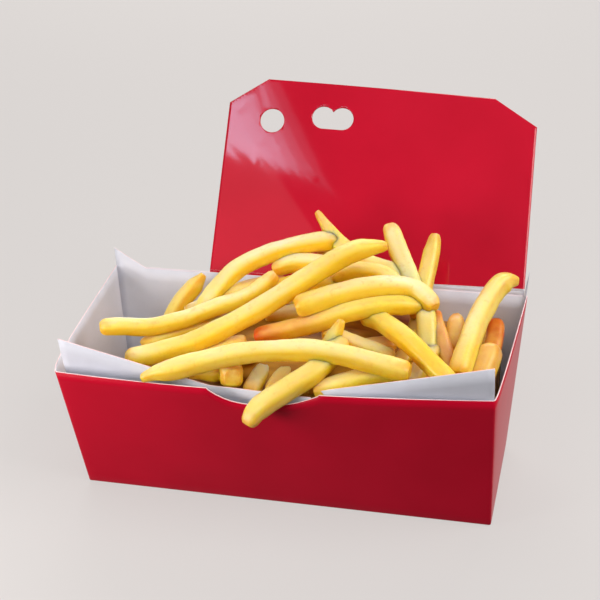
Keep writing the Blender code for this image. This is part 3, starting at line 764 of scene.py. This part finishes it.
class Terrain:
    """The heap's surface as heights on a square grid, raised by each stick that lands on it."""

    def __init__(self, sink):
        self.step = 1.5 * MM
        self.xs = np.arange(-92 * MM, 92 * MM, self.step)
        self.ys = np.arange(-44 * MM, 46 * MM, self.step)
        self.height = np.array([[heap_top(x, y) - sink for y in self.ys] for x in self.xs])

    def index(self, x, y):
        i = min(len(self.xs) - 1, max(0, round((x - self.xs[0]) / self.step)))
        j = min(len(self.ys) - 1, max(0, round((y - self.ys[0]) / self.step)))
        return i, j

    def highest(self, x, y, radius):
        """Highest the middle of a stick may not pass at x, y, given what lies within its radius."""
        i, j = self.index(x, y)
        reach = int(radius / self.step)
        best = -1.0
        for di in range(-reach, reach + 1):
            for dj in range(-reach, reach + 1):
                a, b = i + di, j + dj
                gap = math.hypot(di, dj) * self.step
                if gap < radius and 0 <= a < len(self.xs) and 0 <= b < len(self.ys):
                    best = max(best, self.height[a, b] + math.sqrt(radius**2 - gap**2))
        return best

    def raise_under(self, points, radius):
        reach = int(radius / self.step)
        for point in points:
            i, j = self.index(point.x, point.y)
            for di in range(-reach, reach + 1):
                for dj in range(-reach, reach + 1):
                    a, b = i + di, j + dj
                    gap = math.hypot(di, dj) * self.step
                    if gap < radius and 0 <= a < len(self.xs) and 0 <= b < len(self.ys):
                        self.height[a, b] = max(self.height[a, b], point.z + math.sqrt(radius**2 - gap**2))


def rest_line(floor):
    """Heights of a straight stick laid on the floor profile, balanced about its middle."""
    n = len(floor)
    middle = (n - 1) / 2
    best = None
    for i in range(0, math.ceil(middle)):
        for j in range(math.floor(middle) + 1, n):
            slope = (floor[j] - floor[i]) / (j - i)
            line = [floor[i] + slope * (k - i) for k in range(n)]
            if all(line[k] >= floor[k] - 0.05 * MM for k in range(n)):
                if best is None or line[n // 2] < best[n // 2]:
                    best = line
    return best


def drop_sticks(seed, tries, sink, shown):
    """Fries dropped one by one on the heap, kept where they lie clear of the ones that can be told apart."""
    chance = random.Random(seed)
    terrain = Terrain(sink)
    kept = []
    for _ in range(tries):
        length = chance.uniform(38, 96) * MM
        thick = chance.uniform(6.8, 8.8) * MM
        heading = chance.gauss(0.0, 0.55)
        if chance.random() < 0.2:
            heading += math.pi / 2
        x, y = chance.uniform(INSIDE_LEFT, INSIDE_RIGHT), chance.uniform(-32, 38) * MM
        bow = chance.uniform(-5, 5) * MM
        tone = chance.random()
        along, side = Vector((math.cos(heading), math.sin(heading))), Vector((-math.sin(heading), math.cos(heading)))
        flat = []
        for k in range(9):
            u = -1 + k / 4
            flat.append(Vector((x, y)) + along * (u * length / 2) + side * (bow * (1 - u * u)))
        radius = thick / 2
        if any(p.x < INSIDE_LEFT + radius or p.x > INSIDE_RIGHT - radius for p in flat):
            continue
        floor = [terrain.highest(p.x, p.y, radius) for p in flat]
        heights = rest_line(floor)
        if heights is None or abs(heights[-1] - heights[0]) > 0.45 * length:
            continue
        points = [Vector((p.x, p.y, z)) for p, z in zip(flat, heights)]
        if any(p.y < heap_front_y(p.z) + radius or p.y > heap_back_y(p.z) - radius for p in points):
            continue
        if any(p.z > heap_top(p.x, p.y) + 1.5 * MM for p in points):
            continue
        if any(p.x > 38 * MM and p.y > 6 * MM and p.z > 68 * MM for p in points):
            continue
        dense = spline(points, 3 * MM)
        if not clear_of(dense, radius, shown):
            continue
        terrain.raise_under(dense, radius)
        kept.append((thick, dense[::3] + [dense[-1]], tone))
    return kept


def clear_of(dense, radius, shown):
    """True if a stick neither cuts a shown fry nor lies over one."""
    mine = np.array([list(p) for p in dense])
    for other, other_radius in shown:
        gap = np.linalg.norm(mine[:, None] - other[None], axis=2)
        if gap.min() < (radius + other_radius) * 0.9:
            return False
        flat = np.linalg.norm(mine[:, None, :2] - other[None, :, :2], axis=2)
        i, j = np.unravel_index(flat.argmin(), flat.shape)
        if flat[i, j] < radius + other_radius and mine[i, 2] > other[j, 2]:
            return False
    return True


def route_mesh(name, sticks):
    """One chain of edges per fry, with the sizes that the sweep reads."""
    names = ("thick", "first", "first_reach", "last", "last_reach", "browned", "roll", "key")
    points, edges, values = [], [], {name: [] for name in names}
    for number, (thick, first, last, browned, roll, route) in enumerate(sticks):
        ends = (first[0], first[1] * MM, last[0], last[1] * MM)
        for k, point in enumerate(route):
            share = k / (len(route) - 1)
            nearer = browned[0] if share < 0.5 else browned[1]
            tan = blend(min(browned), nearer, abs(2 * share - 1))
            if k:
                edges.append((len(points) - 1, len(points)))
            points.append(point)
            for key, value in zip(values, (thick, *ends, tan, roll, number * 0.37)):
                values[key].append(value)
    mesh = bpy.data.meshes.new(name)
    mesh.from_pydata(points, edges, [])
    for key, column in values.items():
        mesh.attributes.new(key, "FLOAT", "POINT").data.foreach_set("value", column)
    return new_object(name, mesh)


def sweep_tree():
    """Sweeps a rounded square along each route and gives it uneven sides and rounded or tapered ends."""
    tree = bpy.data.node_groups.new("sweep_fries", "GeometryNodeTree")
    face = tree.interface
    face.new_socket("Geometry", in_out="INPUT", socket_type="NodeSocketGeometry")
    for name, kind, value in (
        ("Ring spacing", "NodeSocketFloat", 1.0 * MM),
        ("Section points", "NodeSocketInt", 20),
        ("Corner share", "NodeSocketFloat", 0.29),
        ("End rounding", "NodeSocketFloat", 2.4 * MM),
        ("Broad unevenness", "NodeSocketFloat", 1.2 * MM),
        ("Fine unevenness", "NodeSocketFloat", 0.5 * MM),
    ):
        face.new_socket(name, in_out="INPUT", socket_type=kind).default_value = value
    face.new_socket("Crust", in_out="INPUT", socket_type="NodeSocketMaterial")
    face.new_socket("Geometry", in_out="OUTPUT", socket_type="NodeSocketGeometry")
    given = add_node(tree, "NodeGroupInput").outputs

    def math_node(operation, a, b=0.0, clamp=False):
        return add_node(tree, "ShaderNodeMath", {0: a, 1: b}, operation=operation, use_clamp=clamp).outputs[0]

    def named(name):
        return add_node(tree, "GeometryNodeInputNamedAttribute", {"Name": name}).outputs["Attribute"]

    curve = add_node(tree, "GeometryNodeMeshToCurve", {"Mesh": given["Geometry"]}).outputs["Curve"]
    curve = add_node(tree, "GeometryNodeCurveSplineType", {"Curve": curve}, spline_type="CATMULL_ROM").outputs["Curve"]
    curve = add_node(
        tree, "GeometryNodeResampleCurve", {"Curve": curve, "Length": given["Ring spacing"]}, mode="LENGTH"
    ).outputs["Curve"]
    curve = add_node(tree, "GeometryNodeSetCurveNormal", {"Curve": curve}, mode="Z_UP").outputs["Curve"]
    curve = add_node(tree, "GeometryNodeSetCurveTilt", {"Curve": curve, "Tilt": named("roll")}).outputs["Curve"]
    along = add_node(tree, "GeometryNodeSplineParameter").outputs["Length"]
    whole = add_node(tree, "GeometryNodeSplineLength").outputs["Length"]
    to_last = math_node("SUBTRACT", whole, along)
    end_gap = math_node("MINIMUM", along, to_last)
    rounding = math_node("SUBTRACT", 1.0, math_node("DIVIDE", end_gap, given["End rounding"], clamp=True))
    rounding = math_node("MULTIPLY", math_node("POWER", rounding, 2.0), 0.5)
    size = math_node("SQRT", math_node("SUBTRACT", 1.0, rounding))
    for gap, end in ((along, "first"), (to_last, "last")):
        part = add_node(
            tree,
            "ShaderNodeMapRange",
            {"Value": gap, "From Min": 0.0, "From Max": named(end + "_reach"), "To Min": named(end), "To Max": 1.0},
            interpolation_type="SMOOTHSTEP",
        ).outputs["Result"]
        size = math_node("MULTIPLY", size, part)
    size = math_node("MULTIPLY", size, named("thick"))
    curve = add_node(
        tree, "GeometryNodeStoreNamedAttribute", {"Geometry": curve, "Name": "end_gap", "Value": end_gap}
    ).outputs["Geometry"]
    curve = add_node(
        tree, "GeometryNodeStoreNamedAttribute", {"Geometry": curve, "Name": "along", "Value": along}
    ).outputs["Geometry"]
    curve = add_node(
        tree, "GeometryNodeStoreNamedAttribute", {"Geometry": curve, "Name": "size", "Value": size}
    ).outputs["Geometry"]
    square = add_node(tree, "GeometryNodeCurvePrimitiveQuadrilateral", {"Width": 1.0, "Height": 1.0}).outputs["Curve"]
    square = add_node(
        tree, "GeometryNodeFilletCurve", {"Curve": square, "Radius": given["Corner share"], "Count": 4}, mode="POLY"
    ).outputs["Curve"]
    square = add_node(
        tree, "GeometryNodeResampleCurve", {"Curve": square, "Count": given["Section points"]}
    ).outputs["Curve"]
    around = add_node(tree, "GeometryNodeSplineParameter").outputs["Factor"]
    square = add_node(
        tree, "GeometryNodeStoreNamedAttribute", {"Geometry": square, "Name": "around", "Value": around}
    ).outputs["Geometry"]
    mesh = add_node(
        tree,
        "GeometryNodeCurveToMesh",
        {"Curve": curve, "Profile Curve": square, "Scale": named("size"), "Fill Caps": True},
    ).outputs["Mesh"]
    turn = math_node("MULTIPLY", named("around"), 2 * math.pi)
    reach = 4.2 * MM
    skin = add_node(
        tree,
        "ShaderNodeCombineXYZ",
        {
            "X": math_node("MULTIPLY", math_node("COSINE", turn), reach),
            "Y": math_node("MULTIPLY", math_node("SINE", turn), reach),
            "Z": math_node("ADD", named("along"), named("key")),
        },
    ).outputs["Vector"]
    mesh = add_node(
        tree,
        "GeometryNodeStoreNamedAttribute",
        {"Geometry": mesh, "Name": "skin", "Value": skin},
        data_type="FLOAT_VECTOR",
    ).outputs["Geometry"]
    corner = math_node("COSINE", math_node("MULTIPLY", turn, 4.0))
    corner = math_node("POWER", math_node("MULTIPLY", math_node("ADD", corner, 1.0), 0.5), 3.0)
    mesh = add_node(
        tree, "GeometryNodeStoreNamedAttribute", {"Geometry": mesh, "Name": "edge", "Value": corner}
    ).outputs["Geometry"]
    # upper is how far each face turns upward; the crust paints its sheen by it.
    normal = add_node(tree, "GeometryNodeInputNormal").outputs["Normal"]
    painted_sheen_facing = add_node(tree, "ShaderNodeSeparateXYZ", {"Vector": normal}).outputs["Z"]
    mesh = add_node(
        tree, "GeometryNodeStoreNamedAttribute", {"Geometry": mesh, "Name": "upper", "Value": math_node("MAXIMUM", painted_sheen_facing)}
    ).outputs["Geometry"]
    for grain, depth in ((17 * MM, given["Broad unevenness"]), (5 * MM, given["Fine unevenness"])):
        bumps = add_node(tree, "ShaderNodeTexNoise", {"Vector": skin, "Scale": 1 / grain, "Detail": 1.0})
        centred = math_node("SUBTRACT", bumps.outputs["Fac"], 0.5)
        push = add_node(
            tree,
            "ShaderNodeVectorMath",
            {0: normal, "Scale": math_node("MULTIPLY", centred, depth)},
            operation="SCALE",
        ).outputs["Vector"]
        mesh = add_node(tree, "GeometryNodeSetPosition", {"Geometry": mesh, "Offset": push}).outputs["Geometry"]
    mesh = add_node(tree, "GeometryNodeSetShadeSmooth", {"Geometry": mesh}).outputs["Geometry"]
    mesh = add_node(tree, "GeometryNodeRealizeInstances", {"Geometry": mesh}).outputs["Geometry"]
    mesh = add_node(
        tree, "GeometryNodeSetMaterial", {"Geometry": mesh, "Material": given["Crust"]}
    ).outputs["Geometry"]
    add_node(tree, "NodeGroupOutput", {"Geometry": mesh})
    return tree


def sweep(routes, tree, name, **sizes):
    """The swept fries as a plain mesh."""
    modifier = routes.modifiers.new("sweep", "NODES")
    modifier.node_group = tree
    sockets = {item.name: item.identifier for item in tree.interface.items_tree if item.in_out == "INPUT"}
    for key, value in sizes.items():
        modifier[sockets[key.replace("_", " ")]] = value
    modifier[sockets["Crust"]] = CRUST
    finished = settle(routes, name)
    for spare in ("thick", "first", "first_reach", "last", "last_reach", "roll", "key", "size", "around", "along"):
        extra = finished.data.attributes.get(spare)
        if extra:
            finished.data.attributes.remove(extra)
    return finished


def make_fries():
    tree = sweep_tree()
    shown, sticks = [], []
    for thick, first, last, browned, roll, route in SHOWN.values():
        route = [Vector(p) * MM for p in route]
        sticks.append((thick * MM, first, last, browned, math.radians(roll), route))
        shown.append((np.array([list(p) for p in spline(route, 3 * MM)]), thick * MM / 2))
    top = sweep(route_mesh("shown_routes", sticks), tree, "fries_on_top", Ring_spacing=0.9 * MM, Section_points=24)
    dropped = drop_sticks(11, 2200, 14 * MM, shown)
    chance = random.Random(5)
    sticks = []
    for thick, route, tone in dropped:
        first = (chance.uniform(0.55, 0.98), chance.uniform(5, 14))
        last = (chance.uniform(0.75, 0.98), chance.uniform(5, 10))
        tan = max(0.0, tone - 0.7) * 1.5
        sticks.append((thick, first, last, (tan, tan * 0.6), chance.uniform(-0.5, 0.5), route))
    under = sweep(route_mesh("dropped_routes", sticks), tree, "fries_in_heap", Ring_spacing=1.6 * MM, Section_points=16)
    return top, under


def make_core():
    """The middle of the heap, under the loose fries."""
    sink = 10 * MM
    stations, across = 60, 30
    work = bmesh.new()
    rings = []
    for i in range(stations + 1):
        x = blend(INSIDE_LEFT - 4 * MM, INSIDE_RIGHT + 1 * MM, i / stations)
        ring = []
        low = 1.2 * MM
        tops = []
        for j in range(across + 1):
            share = j / across
            y = blend(heap_front_y(50 * MM) + 1 * MM, heap_back_y(50 * MM) - 1 * MM, share)
            z = max(6 * MM, heap_top(x, y) - sink + waviness(x * 0.4, y, 9 * MM, 2 * MM, 8.0))
            y = min(max(y, heap_front_y(z) + 1 * MM), heap_back_y(z) - 1 * MM)
            tops.append(Vector((x, y, z)))
        ring.append(Vector((x, heap_front_y(low), low)))
        ring.append(Vector((x, heap_front_y(tops[0].z * 0.5), tops[0].z * 0.5)))
        ring += tops
        ring.append(Vector((x, heap_back_y(tops[-1].z * 0.5), tops[-1].z * 0.5)))
        ring.append(Vector((x, heap_back_y(low), low)))
        rings.append([work.verts.new(p) for p in ring])
    for a, b in zip(rings, rings[1:]):
        for i in range(len(a)):
            j = (i + 1) % len(a)
            work.faces.new((a[i], a[j], b[j], b[i]))
    work.faces.new(rings[0])
    work.faces.new(list(reversed(rings[-1])))
    bmesh.ops.recalc_face_normals(work, faces=work.faces)
    for face in work.faces:
        face.smooth = True
    mesh = bpy.data.meshes.new("heap_core")
    work.to_mesh(mesh)
    work.free()
    mesh.materials.append(PAINTED_SHADE_PACKED)
    return new_object("heap_core", mesh)


# ---------------------------------------------------------------- object

tray = make_tray()
flaps = make_flaps()
lid = make_lid()
crease, crease_low, crease_high = make_crease()
fries_on_top, fries_in_heap = make_fries()
core = make_core()

for piece in (tray, *flaps):
    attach(piece, "tray")
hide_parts("carton_tray")
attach(lid, "lid")
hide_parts("lid")
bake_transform(crease)
for piece in (fries_on_top, fries_in_heap, core):
    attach(piece, "tray")
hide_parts("fries")


# ---------------------------------------------------------------- studio


def make_floor():
    size = 6.0
    mesh = grid_mesh("studio_floor", [[Vector((x, y, 0)) for y in (-size, size)] for x in (-size, size)], Vector((0, 0, 1)))
    mesh.materials.append(light_table())
    floor = new_object("studio_floor", mesh)
    floor.visible_diffuse = False


def soft_light(name, place, target, size, power, colour, mirrored=True):
    data = bpy.data.lights.new(name, "AREA")
    data.shape = "RECTANGLE"
    data.size, data.size_y = size
    data.energy = power
    data.color = hex_colour(colour)[:3]
    light = bpy.data.objects.new(name, data)
    light.location = place
    light.rotation_euler = (Vector(target) - Vector(place)).to_track_quat("-Z", "Y").to_euler()
    light.visible_glossy = mirrored
    bpy.context.scene.collection.objects.link(light)


def gloss_strip(rise, height, share):
    """One strip of a tall softbox in front, whose slanting left edge and fading top show in the lid's gloss."""
    corner = Vector((-0.03, 0.09, 0.14))
    distance = 3.0
    left, right = math.radians(-9.0 + 0.37 * (rise - 40)), math.radians(9)
    rise, facing = math.radians(rise), (left + right) / 2
    out = Vector((math.cos(rise) * math.sin(facing), -math.cos(rise) * math.cos(facing), math.sin(rise)))
    size = (2 * distance * math.tan((right - left) / 2) * math.cos(rise), distance * math.radians(height))
    power = 8.5 * share * math.pi * size[0] * size[1]
    soft_light("gloss_strip", corner + out * distance, corner, size, power, "#B0E1FF")


def make_camera():
    data = bpy.data.cameras.new("camera")
    data.sensor_width = 36
    data.lens = 81
    data.clip_start, data.clip_end = 0.05, 20
    camera = bpy.data.objects.new("camera", data)
    right = Vector((0.97137, 0.23377, -0.04236))
    up = Vector((-0.07585, 0.4741, 0.8772))
    forward = right.cross(up) * -1
    turn = Matrix((right, up, -forward)).transposed().to_4x4()
    camera.matrix_world = Matrix.Translation((0.1311, -0.4797, 0.3537)) @ turn
    bpy.context.scene.collection.objects.link(camera)
    bpy.context.scene.camera = camera


make_floor()
make_camera()
soft_light("near_window", (-0.24, -0.23, 0.11), (-0.03, 0.0, 0.05), (0.16, 0.16), 0.8, "#FFFAF8")
soft_light("back_window", (-0.25, 1.15, 0.9), (0, 0, 0.05), (1.2, 0.8), 11.5, "#FFFCFA")
soft_light("right_window", (0.6, -0.1, 0.75), (0, 0, 0.06), (0.6, 0.6), 5.4, "#FFFCFA")
soft_light("overhead_left", (-0.5, 0.05, 1.35), (0, 0, 0.05), (0.6, 0.6), 3.0, "#FFFBF8")
soft_light("right_fill", (0.8, -0.1, 0.35), (-0.05, 0, 0.06), (0.5, 0.5), 1.6, "#FFFCFA")
soft_light("front_high", (0.3, -0.5, 1.2), (0, 0, 0.06), (0.5, 0.5), 2.6, "#FFFCFA", mirrored=False)
soft_light("back_low", (-0.3, 1.3, 0.25), (0, 0.05, 0.08), (0.7, 0.3), 4.0, "#FFFCFA")
soft_light("left_veil", (-0.58, -1.41, 1.34), (0, 0.06, 0.1), (0.7, 0.5), 0.55, "#FFF0F0")
for rise, height, share in (
    (38, 2, 1.0), (40, 2, 1.0), (42, 2, 1.0), (43.5, 1, 0.9), (44.5, 1, 0.75), (45.5, 1, 0.5), (46.5, 1, 0.25), (47.5, 1, 0.1)
):
    gloss_strip(rise, height, share)
world = bpy.data.worlds.new("studio")
world.use_nodes = True
world.node_tree.nodes["Background"].inputs["Color"].default_value = hex_colour("#F4F2F2")
world.node_tree.nodes["Background"].inputs["Strength"].default_value = 0.11
bpy.context.scene.world = world
bpy.context.scene.view_settings.view_transform = "Standard"
